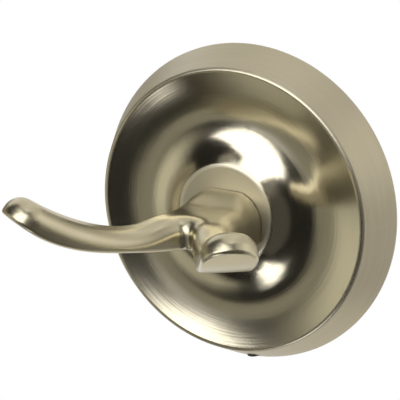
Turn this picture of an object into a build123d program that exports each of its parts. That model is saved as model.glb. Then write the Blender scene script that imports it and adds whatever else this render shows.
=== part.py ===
from build123d import *
import math
import os

# Double robe hook on a round rosette, in millimetres.
# The wall is the plane y = 0, the hook stands out along -Y, +Z is up,
# and the origin is the middle of the rosette's back.

# Rosette
ROSETTE_RADIUS = 38.0
EDGE_LAND = 0.5
ARRIS_RADIUS = 33.6
ARRIS_DEPTH = 9.5
ARRIS_ROUND = 0.9
BOSS_RADIUS = 12.3
BOSS_FACE = 11.0
BOSS_ROUND = 0.4
DISH_INNER_SLOPE = 40.0
DISH_OUTER_SLOPE = 20.0
SKIRT_WALL = 2.2
DISH_WALL = 2.0
BOSS_WALL = 3.2

# Foot of the hook, where it sits on the boss, and its keyed spigot
FOOT_WIDTH = 18.7
FOOT_TOP = 5.9
FOOT_BOTTOM = -6.3
FOOT_WAIST = -1.7
FOOT_FLAT = 6.0
FOOT_CORNER = 2.0
FOOT_SEAM = 0.25
HUB_LEAD = 1.0
FOOT_LEAD = 1.0
SPIGOT_LENGTH = 9.0
SPIGOT_WIDTH = 6.0
SPIGOT_DEPTH = 1.6
SPIGOT_CLEARANCE = 0.1

# Fork, where the hub splits into the two arms
FORK_REACH = 19.0
FORK_TOP = 3.3
FORK_BOTTOM = -3.8
FORK_ANGLE = 34.3
FORK_LAND = 0.3
CROTCH_ROUND = 2.0
FLANK_ROUND = 10.0

# Arms, measured outwards from the upright axis through the fork
ARM_ROOT_WIDTH = 8.6
WAIST_DISTANCE = 19.5
SADDLE_DISTANCE = 16.2
SADDLE_TOP = 2.1
WAIST_BOTTOM = -2.9
BEND_DISTANCE = 31.5
BEND_TOP = 4.8
BEND_BOTTOM = -0.8
NOSE_DISTANCE = 44.5
NOSE_BOTTOM = 5.1
NOSE_THICKNESS = 5.2
NOSE_RISE = 46.0
NOSE_WIDTH = 11.8
ROLL_SHARE = 0.97
UNDER_EASE = 0.9

# Screw and washer that hold the hook
SCREW_RADIUS = 2.5
SCREW_REACH = 6.0
SCREW_HEAD_RADIUS = 4.6
SCREW_HEAD_HEIGHT = 3.2
SCREW_HEAD_ROUND = 1.4
SCREW_CLEARANCE = 0.2
THREAD_GAP = 0.05
TAP_RUNOUT = 1.5
RECESS_WIDTH = 1.2
RECESS_LENGTH = 4.8
RECESS_DEPTH = 1.7
WASHER_RADIUS = 4.4
WASHER_THICKNESS = 1.2
WASHER_SPLIT = 0.9
WASHER_SPLIT_ANGLE = 20.0

# Wall bracket
BRACKET_THICKNESS = 1.4
BRACKET_WIDTH = 16.0
BRACKET_LENGTH = 58.0
BRACKET_FLAT = 36.0
BRACKET_JOGGLE = 2.8
BRACKET_BEND = 0.6
BRACKET_CORNER = 3.0
BRACKET_WINDOW = 5.5
WALL_HOLE_SPACING = 24.0
WALL_HOLE_RADIUS = 2.4

# Set screw in the skirt, its boss, and the lug that hooks behind the bracket
SET_SCREW_RADIUS = 1.5
SET_SCREW_DEPTH = 2.2
SET_SCREW_TURN = 5.0
SET_SCREW_SUNK = 0.1
SET_SCREW_TOUCH = 0.03
SET_KEY_WIDTH = 1.5
SET_KEY_DEPTH = 2.0
SET_BOSS_WIDTH = 6.5
SET_BOSS_CLEARANCE = 1.0
LUG_WIDTH = 10.0
LUG_OVERLAP = 3.0
LUG_SETBACK = 0.6

# Handle length of a curve that draws a quarter of an ellipse
QUARTER_ROUND = 0.5523

# Upright part of a face's normal: walls lie between these two, and tops and undersides face past the third
WALL_LOW = -0.3
WALL_HIGH = 0.8
FACING = 0.5


def turned(edges):
    """Solid turned about the wall's normal from a closed profile of (radius, -depth) edges."""
    return revolve(make_face(edges), Axis.Y)


def dish_curve(set_back):
    """Hollow front of the rosette from the boss out to the arris, set back towards the wall."""
    third = (ARRIS_RADIUS - BOSS_RADIUS) / 3
    fall = third * math.tan(math.radians(DISH_INNER_SLOPE))
    rise = third * math.tan(math.radians(DISH_OUTER_SLOPE))
    boss = BOSS_FACE - set_back
    arris = ARRIS_DEPTH - set_back
    return Bezier(
        (BOSS_RADIUS, -boss),
        (BOSS_RADIUS + third, fall - boss),
        (ARRIS_RADIUS - third, rise - arris),
        (ARRIS_RADIUS, -arris),
    )


def skirt_radius(depth):
    """Outside radius of the cone-shaped skirt at a distance from the wall."""
    share = (depth - EDGE_LAND) / (ARRIS_DEPTH - EDGE_LAND)
    return ROSETTE_RADIUS + share * (ARRIS_RADIUS - ROSETTE_RADIUS)


def rosette_outside():
    dish = dish_curve(0)
    rim = Polyline(
        dish @ 1,
        (ROSETTE_RADIUS, -EDGE_LAND),
        (ROSETTE_RADIUS, 0),
        (0, 0),
        (0, -BOSS_FACE),
        dish @ 0,
    )
    body = turned([dish, rim])
    rings = body.edges().filter_by(GeomType.CIRCLE).sort_by(SortBy.RADIUS)
    body = fillet(rings[-3], ARRIS_ROUND)
    rings = body.edges().filter_by(GeomType.CIRCLE).sort_by(SortBy.RADIUS)
    return fillet(rings[0], BOSS_ROUND)


def rosette_hollow():
    """Space behind the rosette: under the set-back dish and inside the set-back skirt."""
    roof = dish_curve(DISH_WALL)
    boss_back = BOSS_WALL - BOSS_FACE
    rest = Polyline(
        roof @ 1,
        (ROSETTE_RADIUS, DISH_WALL - ARRIS_DEPTH),
        (ROSETTE_RADIUS, 0),
        (0, 0),
        (0, boss_back),
        (BOSS_RADIUS, boss_back),
        roof @ 0,
    )
    back = skirt_radius(0) - SKIRT_WALL
    front = skirt_radius(ARRIS_DEPTH) - SKIRT_WALL
    cone = Polyline((0, 0), (back, 0), (front, -ARRIS_DEPTH), (0, -ARRIS_DEPTH), (0, 0))
    return turned([roof, rest]) & turned([cone])


def set_screw_plane(radius):
    """Plane across the set screw's axis at a radius: local x towards the wall, local z outwards."""
    angle = math.radians(SET_SCREW_TURN - 90)
    out = Vector(math.cos(angle), 0, math.sin(angle))
    return Plane(out * radius - Vector(0, SET_SCREW_DEPTH, 0), x_dir=(0, 1, 0), z_dir=out)


def make_escutcheon():
    outside = rosette_outside()
    tongue_end = BRACKET_LENGTH / 2
    lug = Pos(0, -LUG_SETBACK, tongue_end - LUG_OVERLAP) * Box(
        LUG_WIDTH,
        BRACKET_JOGGLE - LUG_SETBACK,
        ROSETTE_RADIUS,
        align=(Align.CENTER, Align.MAX, Align.MIN),
    )
    boss_start = math.hypot(tongue_end, BRACKET_WIDTH / 2) + SET_BOSS_CLEARANCE
    boss_outline = Pos(SET_SCREW_DEPTH, 0) * Rectangle(
        SET_SCREW_DEPTH + SET_BOSS_WIDTH / 2, SET_BOSS_WIDTH, align=(Align.MAX, Align.CENTER)
    )
    boss = extrude(set_screw_plane(boss_start) * boss_outline, ROSETTE_RADIUS)
    set_hole = extrude(set_screw_plane(tongue_end) * Circle(SET_SCREW_RADIUS + THREAD_GAP), ROSETTE_RADIUS)
    screw_hole = extrude(Plane.XZ * Circle(SCREW_RADIUS + SCREW_CLEARANCE), BOSS_FACE)
    pocket_outline = SlotOverall(SPIGOT_LENGTH + 2 * SPIGOT_CLEARANCE, SPIGOT_WIDTH + 2 * SPIGOT_CLEARANCE)
    pocket_depth = SPIGOT_DEPTH + SPIGOT_CLEARANCE
    pocket = extrude(Plane.XZ.offset(BOSS_FACE - pocket_depth) * pocket_outline, pocket_depth)
    body = outside - rosette_hollow() + (outside & lug) + (outside & boss)
    return body - set_hole - screw_hole - pocket


def arm_profile():
    """Upright section of an arm: (distance from the fork axis, height)."""
    rise = math.radians(NOSE_RISE)
    nose_top = NOSE_BOTTOM + NOSE_THICKNESS / math.cos(rise)
    run = NOSE_WIDTH
    climb = run * math.tan(rise)
    slope = (math.cos(rise), math.sin(rise))
    level = FOOT_WIDTH / 2 + FORK_LAND
    under = Spline(
        (level, FORK_BOTTOM),
        (WAIST_DISTANCE, WAIST_BOTTOM),
        (BEND_DISTANCE, BEND_BOTTOM),
        (NOSE_DISTANCE, NOSE_BOTTOM),
        (NOSE_DISTANCE + run, NOSE_BOTTOM + climb),
        tangents=[(1, 0), slope],
    )
    over = Spline(
        (level, FORK_TOP),
        (SADDLE_DISTANCE, SADDLE_TOP),
        (BEND_DISTANCE, BEND_TOP),
        (NOSE_DISTANCE, nose_top),
        (NOSE_DISTANCE + run, nose_top + climb),
        tangents=[(1, 0), slope],
    )
    ends = Polyline(over @ 0, (0, FORK_TOP), (0, FORK_BOTTOM), under @ 0)
    return under, make_face([under, Line(under @ 1, over @ 1), over, ends])


def arm_plan():
    """One arm seen from above, running along +X from the fork axis and flaring to its nose."""
    root = ARM_ROOT_WIDTH / 2
    nose = NOSE_WIDTH / 2
    flare = NOSE_DISTANCE - nose / 2
    end = NOSE_DISTANCE + 2 * NOSE_WIDTH
    left = Bezier((0, root), (flare / 3, root), (2 * flare / 3, nose), (flare, nose))
    right = Bezier((0, -root), (flare / 3, -root), (2 * flare / 3, -nose), (flare, -nose))
    tip = Polyline(left @ 1, (end, nose), (end, -nose), right @ 1)
    return make_face([left, tip, right, Line(right @ 0, left @ 0)])


def fork_plan():
    """Both arms and the front of the hub seen from above, with the crotch and the flanks rounded."""
    half = FOOT_WIDTH / 2
    right = Location((0, -FORK_REACH, 0), (0, 0, FORK_ANGLE - 90)) * arm_plan()
    plan = right + mirror(right, about=Plane.YZ)
    crotch = plan.vertices().filter_by(lambda v: abs(v.X) < THREAD_GAP).sort_by(Axis.Y)[0]
    notch = crotch.Y + CROTCH_ROUND
    shoulder = crotch.Y - THREAD_GAP
    hub = Polyline((-half, 0), (half, 0), (half, shoulder), (0, notch), (-half, shoulder), (-half, 0))
    plan = plan + make_face(hub)
    crotch = plan.vertices().filter_by(lambda v: abs(v.X) < THREAD_GAP).sort_by(Axis.Y)[0]
    plan = fillet(crotch, CROTCH_ROUND)
    flanks = plan.vertices().filter_by(lambda v: abs(abs(v.X) - half) < THREAD_GAP and v.Y < -FORK_REACH)
    return fillet(flanks, FLANK_ROUND)


def nose_cutter(under, side):
    """What lies beyond the rounded end of an arm, square to the underside there."""
    angle = math.radians(FORK_ANGLE) * side
    along = Vector(math.sin(angle), -math.cos(angle), 0)
    up = Vector(0, 0, 1)
    slope = under.tangent_at((NOSE_DISTANCE, NOSE_BOTTOM))
    middle = Vector(0, -FORK_REACH, NOSE_BOTTOM) + along * NOSE_DISTANCE
    plane = Plane(middle, x_dir=along * slope.X + up * slope.Y, z_dir=up * slope.X - along * slope.Y)
    beyond = Rectangle(2 * NOSE_WIDTH, 3 * NOSE_WIDTH, align=(Align.MIN, Align.CENTER))
    beyond = beyond - Circle(NOSE_WIDTH / 2)
    return extrude(plane * beyond, 2 * NOSE_WIDTH, both=True)


def meeting_faces(body, edge):
    return [face for face in body.faces() if any(edge.is_same(other) for other in face.edges())]


def edges_facing(body, picks):
    """Edges whose two faces have upright parts of their normals that pass the test."""
    chosen = []
    for edge in body.edges():
        middle = edge @ 0.5
        tilts = sorted(face.normal_at(middle).Z for face in meeting_faces(body, edge))
        if len(tilts) == 2 and middle.Y < -FORK_REACH - THREAD_GAP and picks(*tilts):
            chosen.append(edge)
    return chosen


def top_roll():
    """Radius of the arms' rolled top edges, as full as their width and height allow."""
    waist_height = SADDLE_TOP - WAIST_BOTTOM
    return ROLL_SHARE * min(ARM_ROOT_WIDTH / 2, min(waist_height, NOSE_THICKNESS) - UNDER_EASE)


def make_fork():
    """Front of the hook: two arms with a flat underside, a rolled top edge and rounded noses."""
    under, profile = arm_profile()
    stand = Plane((0, -FORK_REACH, 0), x_dir=(1, 0, 0), z_dir=(0, -1, 0))
    layer = revolve(stand * profile, Axis((0, -FORK_REACH, 0), (0, 0, -1)), 180)
    body = layer & extrude(fork_plan(), NOSE_DISTANCE, both=True)
    for side in (-1, 1):
        body = body - nose_cutter(under, side)
    top_edges = edges_facing(body, lambda low, high: WALL_LOW < low < WALL_HIGH and high > FACING)
    body = fillet(top_edges, top_roll())
    under_edges = edges_facing(body, lambda low, high: low < -FACING and high > WALL_LOW)
    return fillet(under_edges, UNDER_EASE)


def foot_section():
    """Outline of the hook's foot on the boss: flat below, round-shouldered above."""
    half = FOOT_WIDTH / 2
    flat = FOOT_FLAT / 2
    low = FOOT_BOTTOM + FOOT_CORNER
    lift = (FOOT_TOP - FOOT_WAIST) * QUARTER_ROUND
    reach = (half - flat) * QUARTER_ROUND
    top = Line((-flat, FOOT_TOP), (flat, FOOT_TOP))
    right = Bezier(
        (flat, FOOT_TOP),
        (flat + reach, FOOT_TOP),
        (half, FOOT_WAIST + lift),
        (half, FOOT_WAIST),
    )
    right_side = Line((half, FOOT_WAIST), (half, low))
    right_corner = RadiusArc((half, low), (half - FOOT_CORNER, FOOT_BOTTOM), FOOT_CORNER)
    bottom = Line((half - FOOT_CORNER, FOOT_BOTTOM), (FOOT_CORNER - half, FOOT_BOTTOM))
    edges = [right, right_side, right_corner]
    edges += [mirror(edge, about=Plane.YZ) for edge in edges]
    return Plane.XZ.offset(BOSS_FACE) * make_face([top, bottom] + edges)


def make_hook():
    fork = make_fork()
    back = fork.faces().sort_by(Axis.Y)[-1]
    foot = foot_section().face()
    hub = loft([back, Pos(0, HUB_LEAD, 0) * back, Pos(0, -FOOT_LEAD, 0) * foot, foot])
    hub = chamfer(hub.faces().sort_by(Axis.Y)[-1].edges(), FOOT_SEAM)
    spigot_start = BOSS_FACE - SPIGOT_DEPTH
    spigot = extrude(Plane.XZ.offset(spigot_start) * SlotOverall(SPIGOT_LENGTH, SPIGOT_WIDTH), SPIGOT_DEPTH)
    tap_depth = SPIGOT_DEPTH + SCREW_REACH + TAP_RUNOUT
    tap = extrude(Plane.XZ.offset(spigot_start) * Circle(SCREW_RADIUS + THREAD_GAP), tap_depth)
    return fork + hub + spigot - tap


def make_hook_screw():
    seat = BOSS_FACE - BOSS_WALL - WASHER_THICKNESS
    head_back = Plane.XZ.offset(seat - SCREW_HEAD_HEIGHT)
    head = extrude(head_back * Circle(SCREW_HEAD_RADIUS), SCREW_HEAD_HEIGHT)
    head = fillet(head.edges().group_by(Axis.Y)[-1], SCREW_HEAD_ROUND)
    shank = extrude(Plane.XZ.offset(seat) * Circle(SCREW_RADIUS), BOSS_FACE + SCREW_REACH - seat)
    cross = Rectangle(RECESS_LENGTH, RECESS_WIDTH) + Rectangle(RECESS_WIDTH, RECESS_LENGTH)
    return head + shank - extrude(head_back * cross, RECESS_DEPTH)


def make_lock_washer():
    front = BOSS_FACE - BOSS_WALL
    ring = Circle(WASHER_RADIUS) - Circle(SCREW_RADIUS + SCREW_CLEARANCE)
    split = Rot(0, 0, WASHER_SPLIT_ANGLE) * Rectangle(
        WASHER_RADIUS * 2, WASHER_SPLIT, align=(Align.MIN, Align.CENTER)
    )
    return extrude(Plane.XZ.offset(front - WASHER_THICKNESS) * (ring - split), WASHER_THICKNESS)


def make_wall_bracket():
    """Pressed strip, flat on the wall in the middle, with both ends stepped clear of the wall."""
    flat = BRACKET_FLAT / 2
    end = BRACKET_LENGTH / 2
    step = BRACKET_JOGGLE
    skin = BRACKET_THICKNESS
    trim = skin * math.tan(math.pi / 8)
    wall_side = [(0, flat), (-step, flat + step), (-step, end)]
    front_side = [(-step - skin, end), (-step - skin, flat + step - trim), (-skin, flat - trim)]
    upper = wall_side + front_side
    lower = [(y, -z) for y, z in reversed(upper)]
    outline = make_face(Polyline(*upper, *lower, close=True))
    bends = outline.vertices().filter_by(lambda v: abs(v.Y) < end - THREAD_GAP)
    outline = fillet(bends, BRACKET_BEND)
    strip = extrude(Plane.YZ * outline, BRACKET_WIDTH / 2, both=True)
    strip = fillet(strip.edges().filter_by(Axis.Y), BRACKET_CORNER)
    holes = Circle(BRACKET_WINDOW)
    for side in (-1, 1):
        holes += Pos(0, side * WALL_HOLE_SPACING / 2) * Circle(WALL_HOLE_RADIUS)
    return strip - extrude(Plane.XZ * holes, skin)


def make_set_screw():
    """Cone-point grub screw whose point bears behind the lower end of the bracket."""
    bracket_edge = BRACKET_LENGTH / 2 / math.cos(math.radians(SET_SCREW_TURN))
    point = bracket_edge - (BRACKET_JOGGLE - SET_SCREW_DEPTH) + SET_SCREW_TOUCH
    end = skirt_radius(SET_SCREW_DEPTH) - SET_SCREW_SUNK
    side = SET_SCREW_RADIUS
    shape = Polyline((0, point), (side, point + side), (side, end), (0, end), close=True)
    body = revolve(Plane.XZ * make_face(shape), Axis.Z)
    key_outline = RegularPolygon(SET_KEY_WIDTH / 2, 6, major_radius=False)
    key = Pos(0, 0, end - SET_KEY_DEPTH) * extrude(key_outline, SET_KEY_DEPTH)
    return set_screw_plane(0) * (body - key)


NODES = {
    "escutcheon": make_escutcheon,
    "hook": make_hook,
    "hook_screw": make_hook_screw,
    "lock_washer": make_lock_washer,
    "wall_bracket": make_wall_bracket,
    "set_screw": make_set_screw,
}

os.makedirs("parts", exist_ok=True)
for name, make in NODES.items():
    export_step(make(), f"parts/{name}.step")
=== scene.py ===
import math

import bpy
from mathutils import Matrix, Vector


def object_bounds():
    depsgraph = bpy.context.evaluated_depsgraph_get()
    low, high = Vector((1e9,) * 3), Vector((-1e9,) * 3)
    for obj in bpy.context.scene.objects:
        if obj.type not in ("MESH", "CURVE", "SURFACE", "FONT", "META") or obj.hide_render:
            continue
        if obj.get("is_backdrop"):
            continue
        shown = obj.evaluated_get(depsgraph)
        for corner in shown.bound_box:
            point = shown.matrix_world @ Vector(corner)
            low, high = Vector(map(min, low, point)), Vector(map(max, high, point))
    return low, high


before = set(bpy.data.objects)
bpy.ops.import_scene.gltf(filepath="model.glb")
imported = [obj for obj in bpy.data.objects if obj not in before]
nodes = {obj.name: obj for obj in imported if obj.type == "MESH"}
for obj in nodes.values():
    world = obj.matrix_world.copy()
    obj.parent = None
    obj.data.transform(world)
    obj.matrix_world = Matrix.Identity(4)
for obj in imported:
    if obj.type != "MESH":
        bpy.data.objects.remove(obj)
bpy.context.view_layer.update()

scene = bpy.context.scene

# Camera: angles in degrees, lengths in metres, sensor in millimetres
CAMERA_AZIMUTH = 29.0
CAMERA_ELEVATION = 16.45
CAMERA_DISTANCE = 0.400
AIM_RIGHT = -0.0111
AIM_UP = 0.0006
CLIP_START = 0.01
SENSOR = 36.0
PIXELS_PER_METRE = 4250.0
IMAGE_SIDE = 400

# Finishes, in linear colour
NICKEL = (0.61, 0.56, 0.43, 1.0)
NICKEL_DULL = (0.50, 0.455, 0.34, 1.0)
HOOK_NICKEL = (0.62, 0.57, 0.42, 1.0)
HOOK_DULL = (0.53, 0.485, 0.345, 1.0)
# Painted shadow: a dark colour for the thin band at the hook's foot, standing for the shade in the gap
# against the boss
SEAM_PAINTED_SHADOW = (0.04, 0.035, 0.025, 1.0)
ZINC = (0.62, 0.63, 0.64, 1.0)
ZINC_WARM = (0.5, 0.5, 0.46, 1.0)
ZINC_COOL = (0.5, 0.52, 0.54, 1.0)
SPRING_STEEL = (0.30, 0.30, 0.31, 1.0)
SPRING_STEEL_DARK = (0.2, 0.2, 0.2, 1.0)
BLACK_OXIDE = (0.09, 0.088, 0.08, 1.0)
BLACK_OXIDE_WORN = (0.14, 0.14, 0.13, 1.0)

# Rosette landmarks, in metres; a surface faces the wall where its normal's Y is over FACES_BACK
ARRIS_RADIUS = 0.0335
ARRIS_INSIDE = 0.0004
ARRIS_OUTSIDE = 0.0002
BRUSHED_FROM = 0.022
BOSS_RADIUS = 0.0123
BOSS_BLEND = 0.0006
BOSS_FACE = 0.011
RIM_WIDTH = 0.0014
RIM_FALL = 0.0004
SEAM = 0.0003
FACES_BACK = 0.1

# Rosette finish: roughness from and to, what is added on the boss and near the arris, and its noises
DISH_ROUGH = (0.10, 0.18)
SKIRT_ROUGH = (0.36, 0.50)
BOSS_ROUGHER = 0.26
OUTER_ROUGHER = 0.05
FINE_RINGS = 5200.0
BROAD_RINGS = 1700.0
FINE_SHARE = 0.6
BROAD_SHARE = 0.4
RING_STRETCH = 0.0006
ROSETTE_CLOUDS = 90.0

# Hook landmarks and softness of its edges, in metres, and the rays that feel out each soft edge
HUB_END = 0.020
HUB_BLEND = 0.003
SOFT_EDGE = 0.0003
SOFT_HUB = 0.0020
BEVEL_SAMPLES = 8

# Hook finish: roughness from and to, what is added on the hub, and its noises
HOOK_ROUGH = (0.282, 0.298)
HUB_ROUGHER = 0.12
HOOK_STREAKS = 700.0
HOOK_STRETCH = (1.0, 0.06, 1.0)
HOOK_CLOUDS = 160.0

# Plated pieces: material, two tones, roughness from and to, and scale of the spangle; then how it is mottled
PLATED = {
    "hook_screw": ("zinc_screw", ZINC, ZINC_WARM, (0.28, 0.45), 900),
    "lock_washer": ("spring_steel", SPRING_STEEL, SPRING_STEEL_DARK, (0.3, 0.5), 1200),
    "wall_bracket": ("zinc_bracket", ZINC, ZINC_COOL, (0.30, 0.48), 420),
    "set_screw": ("black_oxide", BLACK_OXIDE, BLACK_OXIDE_WORN, (0.4, 0.6), 1500),
}
SPANGLE_SHARE = 0.6
MOTTLE_SHARE = 0.5
MOTTLE_FINER = 6

# Relief of the finishes, in metres
DISH_STREAK = 0.000015
SKIRT_STREAK = 0.000035
HOOK_STREAK = 0.000006
PLATING_RELIEF = 0.00001

# Noise detail, and the Mix node's sockets: first, second and result
SMOOTH_NOISE = 2.0
CRISP_NOISE = 4.0
NUMBER_MIX = (2, 3, 0)
COLOUR_MIX = (6, 7, 2)

# Studio: lengths in metres, faces along each side of a card, and linear colours
STUDIO_RADIUS = 0.9
CARD_STEPS = 12
FLOOR_HALF = 6.0
FLOOR_DROP = 1.2
FLOOR_PALE = (0.9, 0.9, 0.9, 1.0)
WHITE = (1.0, 1.0, 1.0, 1.0)
WARM = (1.0, 0.96, 0.88, 1.0)
TAN = (1.0, 0.97, 0.80, 1.0)
OLIVE = (1.0, 0.90, 0.66, 1.0)


def camera_axes():
    """Right, up and back vectors of the photograph's camera."""
    az = math.radians(CAMERA_AZIMUTH)
    el = math.radians(CAMERA_ELEVATION)
    back = Vector((math.sin(az) * math.cos(el), -math.cos(az) * math.cos(el), math.sin(el)))
    right = Vector((0, 0, 1)).cross(back).normalized()
    return right, back.cross(right), back


def make_camera():
    """Camera whose scale at the object's origin is PIXELS_PER_METRE."""
    right, up, back = camera_axes()
    place = back * CAMERA_DISTANCE + right * AIM_RIGHT + up * AIM_UP
    data = bpy.data.cameras.new("camera")
    data.sensor_width = SENSOR
    data.sensor_fit = "HORIZONTAL"
    data.lens = SENSOR * PIXELS_PER_METRE * CAMERA_DISTANCE / IMAGE_SIDE
    data.clip_start = CLIP_START
    camera = bpy.data.objects.new("camera", data)
    turn = Matrix((right, up, back)).transposed().to_4x4()
    camera.matrix_world = Matrix.Translation(place) @ turn
    scene.collection.objects.link(camera)
    scene.camera = camera


class Graph:
    """Short-hand for building a node tree."""

    def __init__(self, tree):
        self.tree = tree
        tree.nodes.clear()

    def add(self, kind, inputs=None, **settings):
        node = self.tree.nodes.new(kind)
        for name, value in settings.items():
            setattr(node, name, value)
        for name, value in (inputs or {}).items():
            self.feed(value, node.inputs[name])
        return node

    def feed(self, value, socket):
        if isinstance(value, bpy.types.NodeSocket):
            self.tree.links.new(value, socket)
        else:
            socket.default_value = value

    def math(self, operation, a, b=0.0):
        return self.add("ShaderNodeMath", {0: a, 1: b}, operation=operation).outputs[0]

    def mean(self, a, b):
        return self.math("MULTIPLY", self.math("ADD", a, b), 0.5)

    def plus(self, number, extra, share):
        """The number with a share of the extra one on top."""
        return self.math("ADD", number, self.math("MULTIPLY", extra, share))

    def parts(self, vector):
        """X, Y and Z of a vector."""
        return self.add("ShaderNodeSeparateXYZ", {"Vector": vector}).outputs

    def ramp(self, value, start, end):
        """Number that goes from 0 where the value is start to 1 where it is end."""
        inputs = {"Value": value, "From Min": start, "From Max": end}
        return self.add("ShaderNodeMapRange", inputs).outputs[0]

    def blend(self, factor, low, high):
        """Number that goes from low to high with the factor."""
        inputs = {"Value": factor, "To Min": low, "To Max": high}
        return self.add("ShaderNodeMapRange", inputs).outputs[0]

    def mix(self, kind, sockets, factor, low, high):
        """Two numbers or two colours, mixed by the factor."""
        first, second, result = sockets
        node = self.add("ShaderNodeMix", {"Factor": factor}, data_type=kind)
        self.feed(low, node.inputs[first])
        self.feed(high, node.inputs[second])
        return node.outputs[result]

    def mix_numbers(self, factor, low, high):
        return self.mix("FLOAT", NUMBER_MIX, factor, low, high)

    def mix_colours(self, factor, low, high):
        return self.mix("RGBA", COLOUR_MIX, factor, low, high)

    def noise(self, vector, scale, detail=SMOOTH_NOISE):
        inputs = {"Vector": vector, "Scale": scale, "Detail": detail}
        return self.add("ShaderNodeTexNoise", inputs).outputs["Fac"]


def new_material(name):
    material = bpy.data.materials.new(name)
    material.use_nodes = True
    return material, Graph(material.node_tree)


def finish_metal(graph, colour, roughness, height, under=None):
    """Metal with a relief in metres, over the mesh's own normal or the one given."""
    relief = {"Height": height, "Distance": 1.0, "Strength": 1.0}
    if under is not None:
        relief["Normal"] = under
    normal = graph.add("ShaderNodeBump", relief).outputs[0]
    inputs = {"Base Color": colour, "Metallic": 1.0, "Roughness": roughness, "Normal": normal}
    surface = graph.add("ShaderNodeBsdfPrincipled", inputs).outputs[0]
    graph.add("ShaderNodeOutputMaterial", {"Surface": surface})


def rosette_relief(g, radius, depth, skirt, rings):
    """Height of the brushing, and of a softer round on the boss's rim."""
    brushing = g.math("MULTIPLY", rings, g.blend(skirt, DISH_STREAK, SKIRT_STREAK))
    rim = g.ramp(radius, BOSS_RADIUS - RIM_WIDTH, BOSS_RADIUS)
    face = g.math("LESS_THAN", depth, -BOSS_FACE + SEAM)
    beyond = g.math("GREATER_THAN", radius, BOSS_RADIUS - SEAM)
    round_off = g.math("MULTIPLY", g.math("MULTIPLY", rim, rim), -RIM_FALL)
    fall = g.math("MULTIPLY", round_off, g.math("MAXIMUM", face, beyond))
    return g.math("ADD", brushing, fall)


def escutcheon_material():
    """Nickel brushed round the axis: bright in the dish, satin on the boss, the skirt and the back."""
    material, g = new_material("nickel_rosette")
    coordinates = g.add("ShaderNodeTexCoord").outputs
    place = coordinates["Object"]
    x, y, z = g.parts(place)
    radius = g.math("SQRT", g.math("ADD", g.math("MULTIPLY", x, x), g.math("MULTIPLY", z, z)))
    angle = g.math("ARCTAN2", z, x)

    # Where each finish lies
    skirt = g.ramp(radius, ARRIS_RADIUS - ARRIS_INSIDE, ARRIS_RADIUS + ARRIS_OUTSIDE)
    boss = g.ramp(radius, BOSS_RADIUS, BOSS_RADIUS - BOSS_BLEND)
    outer = g.ramp(radius, BRUSHED_FROM, ARRIS_RADIUS)
    facing = g.parts(coordinates["Normal"])["Y"]
    satin = g.math("MAXIMUM", skirt, g.math("GREATER_THAN", facing, FACES_BACK))

    # Fine and broad rings round the axis, and clouds over all
    across = g.math("SUBTRACT", radius, y)
    around = g.math("MULTIPLY", angle, RING_STRETCH)
    rings = g.add("ShaderNodeCombineXYZ", {"X": across, "Y": around}).outputs[0]
    fine = g.noise(rings, FINE_RINGS)
    broad = g.noise(rings, BROAD_RINGS)
    clouds = g.noise(place, ROSETTE_CLOUDS)
    grain = g.plus(g.math("MULTIPLY", fine, FINE_SHARE), broad, BROAD_SHARE)

    # Roughness, colour and relief
    dish_rough = g.plus(g.blend(grain, *DISH_ROUGH), boss, BOSS_ROUGHER)
    dish_rough = g.plus(dish_rough, outer, OUTER_ROUGHER)
    roughness = g.mix_numbers(satin, dish_rough, g.blend(grain, *SKIRT_ROUGH))
    streaks = g.mean(clouds, broad)
    colour = g.mix_colours(g.math("MULTIPLY", streaks, skirt), NICKEL, NICKEL_DULL)
    finish_metal(g, colour, roughness, rosette_relief(g, radius, y, skirt, broad))
    return material


def hook_material():
    """Satin nickel brushed along the arms, duller on the hub, with a painted shadow in a thin dark band at
    its foot, where it meets the boss.
    """
    material, g = new_material("nickel_hook")
    place = g.add("ShaderNodeTexCoord").outputs["Object"]
    depth = g.parts(place)["Y"]
    hub = g.ramp(depth, -HUB_END - HUB_BLEND, -HUB_END)
    # Painted shadow: the thin band at the hook's foot, where it meets the boss, is darkened to stand for the
    # shade in the gap
    seam_shadow_mask = g.ramp(depth, -BOSS_FACE - SEAM, -BOSS_FACE - SEAM / 2)
    stretch = g.add("ShaderNodeMapping", {"Vector": place, "Scale": HOOK_STRETCH}).outputs[0]
    streaks = g.noise(stretch, HOOK_STREAKS)
    clouds = g.noise(place, HOOK_CLOUDS)
    metal = g.mix_colours(clouds, HOOK_NICKEL, HOOK_DULL)
    colour = g.mix_colours(seam_shadow_mask, metal, SEAM_PAINTED_SHADOW)
    roughness = g.plus(g.blend(clouds, *HOOK_ROUGH), hub, HUB_ROUGHER)
    radius = g.blend(hub, SOFT_EDGE, SOFT_HUB)
    soft = g.add("ShaderNodeBevel", {"Radius": radius}, samples=BEVEL_SAMPLES).outputs[0]
    finish_metal(g, colour, roughness, g.math("MULTIPLY", streaks, HOOK_STREAK), soft)
    return material


def plated_material(name, light, dark, rough, scale):
    """Plated or blackened steel with a fine mottled surface."""
    material, g = new_material(name)
    place = g.add("ShaderNodeTexCoord").outputs["Object"]
    spangle = g.add("ShaderNodeTexVoronoi", {"Vector": place, "Scale": scale}).outputs["Distance"]
    fine = g.noise(place, scale * MOTTLE_FINER, CRISP_NOISE)
    mottle = g.plus(g.math("MULTIPLY", spangle, SPANGLE_SHARE), fine, MOTTLE_SHARE)
    colour = g.mix_colours(mottle, light, dark)
    finish_metal(g, colour, g.blend(mottle, *rough), g.math("MULTIPLY", fine, PLATING_RELIEF))
    return material


def dress_nodes():
    """Give each CAD piece its finish."""
    looks = {"escutcheon": escutcheon_material(), "hook": hook_material()}
    for name, finish in PLATED.items():
        looks[name] = plated_material(*finish)
    for name, material in looks.items():
        slots = nodes[name].data.materials
        for index in range(len(slots)):
            slots[index] = material


def direction(longitude, latitude):
    """Unit vector; longitude 0 faces the front of the object and grows to its right."""
    lon = math.radians(longitude)
    lat = math.radians(latitude)
    return Vector((math.sin(lon) * math.cos(lat), -math.cos(lon) * math.cos(lat), math.sin(lat)))


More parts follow.
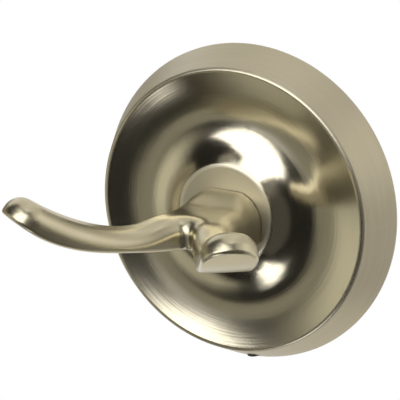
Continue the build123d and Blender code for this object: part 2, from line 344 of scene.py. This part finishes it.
def card_mesh(name, corners, depth):
    """Curved sheet round the object, with a UV that runs from 0 to 1 each way."""
    places = [index / CARD_STEPS for index in range(CARD_STEPS + 1)]
    low_left, low_right, high_right, high_left = [Vector(corner) for corner in corners]
    points = []
    for v in places:
        for u in places:
            spot = low_left.lerp(low_right, u).lerp(high_left.lerp(high_right, u), v)
            points.append(direction(*spot) * STUDIO_RADIUS * depth)
    faces = []
    for row in range(CARD_STEPS):
        for column in range(CARD_STEPS):
            first = row * (CARD_STEPS + 1) + column
            above = first + CARD_STEPS + 1
            faces.append((first, first + 1, above + 1, above))
    mesh = bpy.data.meshes.new(name)
    mesh.from_pydata(points, [], faces)
    layer = mesh.uv_layers.new(name="card")
    for loop in mesh.loops:
        row, column = divmod(loop.vertex_index, CARD_STEPS + 1)
        layer.data[loop.index].uv = (places[column], places[row])
    return mesh


def card_material(name, colour, strength, edge):
    """Glow that fades out at the card's edges; it isn't sampled as a lamp."""
    material, g = new_material(name)
    along = g.parts(g.add("ShaderNodeUVMap", uv_map="card").outputs[0])
    solid = 1.0
    for share in (along["X"], along["Y"]):
        near = g.math("MINIMUM", share, g.math("SUBTRACT", 1.0, share))
        inputs = {"Value": near, "From Max": edge}
        fade = g.add("ShaderNodeMapRange", inputs, interpolation_type="SMOOTHSTEP").outputs[0]
        solid = g.math("MULTIPLY", solid, fade)
    glow = g.add("ShaderNodeEmission", {"Color": colour, "Strength": strength}).outputs[0]
    clear = g.add("ShaderNodeBsdfTransparent").outputs[0]
    mixed = g.add("ShaderNodeMixShader", {0: solid, 1: clear, 2: glow}).outputs[0]
    g.add("ShaderNodeOutputMaterial", {"Surface": mixed})
    material.cycles.emission_sampling = "NONE"
    return material


def studio_card(name, corners, depth, colour, strength, edge):
    """Soft-edged card that shows in reflections, and not to the camera or to diffuse and shadow rays."""
    mesh = card_mesh(name, corners, depth)
    mesh.materials.append(card_material(name, colour, strength, edge))
    card = bpy.data.objects.new(name, mesh)
    scene.collection.objects.link(card)
    card.visible_camera = False
    card.visible_shadow = False
    card.visible_diffuse = False
    card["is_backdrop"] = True


def panel(longitudes, latitudes):
    """Corners of an upright card."""
    left, right = longitudes
    low, high = latitudes
    return (left, low), (right, low), (right, high), (left, high)


# Cards that aren't upright: longitude and latitude of each corner, anticlockwise from the lower left
LEFT_FILL = (-44, -26), (-4, -26), (-6, 9), (-40, -4)
LEFT_WALL = (-86, -36), (-24, -36), (-34, 18), (-86, 18)
SOFT_FOOT = (-26, -13), (-9, -12), (-9, 10), (-31, 12)
SOFT_BOX = (-27, -2), (15, 10), (44, 48), (-14, 63)
SOFT_WING = (-43, 16), (-22, 2), (-6, 50), (-28, 40)
LOW_BOX = (-18, -70), (27, -70), (6, -40), (-23, -33)

# Cards: name, corners, share of STUDIO_RADIUS, colour, strength, and soft edge as a share of the card
CARDS = [
    ("overhead", panel((-180, 180), (40, 89)), 1.02, WARM, 0.80, 0.05),
    ("underneath", panel((90, 270), (-88, -42)), 1.02, WARM, 0.80, 0.05),
    ("back_left", panel((-182, -134), (-25, 45)), 1.01, WARM, 0.85, 0.15),
    ("tent", panel((-100, 88), (-80, 72)), 1.0, WARM, 0.022, 0.05),
    ("right_dim", panel((26, 90), (-66, 24)), 0.97, WARM, 0.09, 0.12),
    ("right_near", panel((74, 112), (-40, 8)), 0.965, WARM, 0.28, 0.25),
    ("right_strip", panel((80, 144), (10, 46)), 0.955, WARM, 1.10, 0.3),
    ("right_high", panel((20, 60), (10, 50)), 0.96, WARM, 0.25, 0.3),
    ("right_side", panel((98, 150), (-28, 14)), 0.96, WARM, 0.95, 0.2),
    ("right_upper", panel((54, 190), (8, 62)), 0.98, WARM, 0.70, 0.15),
    ("right_back", panel((130, 190), (-30, 20)), 0.975, WARM, 0.6, 0.15),
    ("right_low", panel((76, 150), (-60, -26)), 0.95, WARM, 0.55, 0.2),
    ("left_far", panel((-136, -70), (-24, 22)), 0.95, OLIVE, 0.28, 0.15),
    ("left_fill", LEFT_FILL, 0.95, TAN, 0.30, 0.35),
    ("left_floor", panel((-86, -28), (-62, -14)), 0.94, TAN, 0.50, 0.35),
    ("left_wall", LEFT_WALL, 0.93, TAN, 0.74, 0.42),
    ("left_high", panel((-64, -20), (40, 66)), 0.93, WARM, 0.35, 0.25),
    ("soft_foot", SOFT_FOOT, 0.915, WHITE, 0.60, 0.42),
    ("high_box", panel((-48, 10), (50, 64)), 0.91, WHITE, 1.5, 0.3),
    ("roof_box", panel((12, 84), (62, 82)), 0.92, WHITE, 1.4, 0.25),
    ("soft_box", SOFT_BOX, 0.9, WHITE, 2.8, 0.14),
    ("soft_wing", SOFT_WING, 0.89, WHITE, 2.8, 0.16),
    ("low_box", LOW_BOX, 0.9, WHITE, 2.4, 0.22),
]


def make_studio():
    """White surroundings with a dark tent in front, a tan wall to the left and soft boxes."""
    for card in CARDS:
        studio_card(*card)


def make_floor():
    """Pale floor well below the object, white to the camera and in mirrored rays."""
    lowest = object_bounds()[0][2]
    level = lowest - FLOOR_DROP
    near = (-FLOOR_HALF, -FLOOR_HALF, level), (FLOOR_HALF, -FLOOR_HALF, level)
    far = (FLOOR_HALF, FLOOR_HALF, level), (-FLOOR_HALF, FLOOR_HALF, level)
    mesh = bpy.data.meshes.new("floor")
    mesh.from_pydata([*near, *far], [], [(0, 1, 2, 3)])
    floor = bpy.data.objects.new("floor", mesh)
    scene.collection.objects.link(floor)
    material, g = new_material("floor")
    paths = g.add("ShaderNodeLightPath").outputs
    direct = g.math("MAXIMUM", paths["Is Camera Ray"], paths["Is Glossy Ray"])
    direct = g.math("MAXIMUM", direct, paths["Is Transmission Ray"])
    white = g.add("ShaderNodeEmission", {"Color": WHITE, "Strength": 1.0}).outputs[0]
    matt = g.add("ShaderNodeBsdfDiffuse", {"Color": FLOOR_PALE}).outputs[0]
    mixed = g.add("ShaderNodeMixShader", {0: direct, 1: matt, 2: white}).outputs[0]
    g.add("ShaderNodeOutputMaterial", {"Surface": mixed})
    material.cycles.emission_sampling = "NONE"
    mesh.materials.append(material)
    floor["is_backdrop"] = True


def make_world():
    """Even white light from all round."""
    world = bpy.data.worlds.new("world")
    world.use_nodes = True
    world.cycles.sampling_method = "NONE"
    scene.world = world
    g = Graph(world.node_tree)
    glow = g.add("ShaderNodeBackground", {"Color": WHITE, "Strength": 1.0}).outputs[0]
    g.add("ShaderNodeOutputWorld", {"Surface": glow})


scene.view_settings.view_transform = "Standard"
make_camera()
dress_nodes()
make_studio()
make_floor()
make_world()
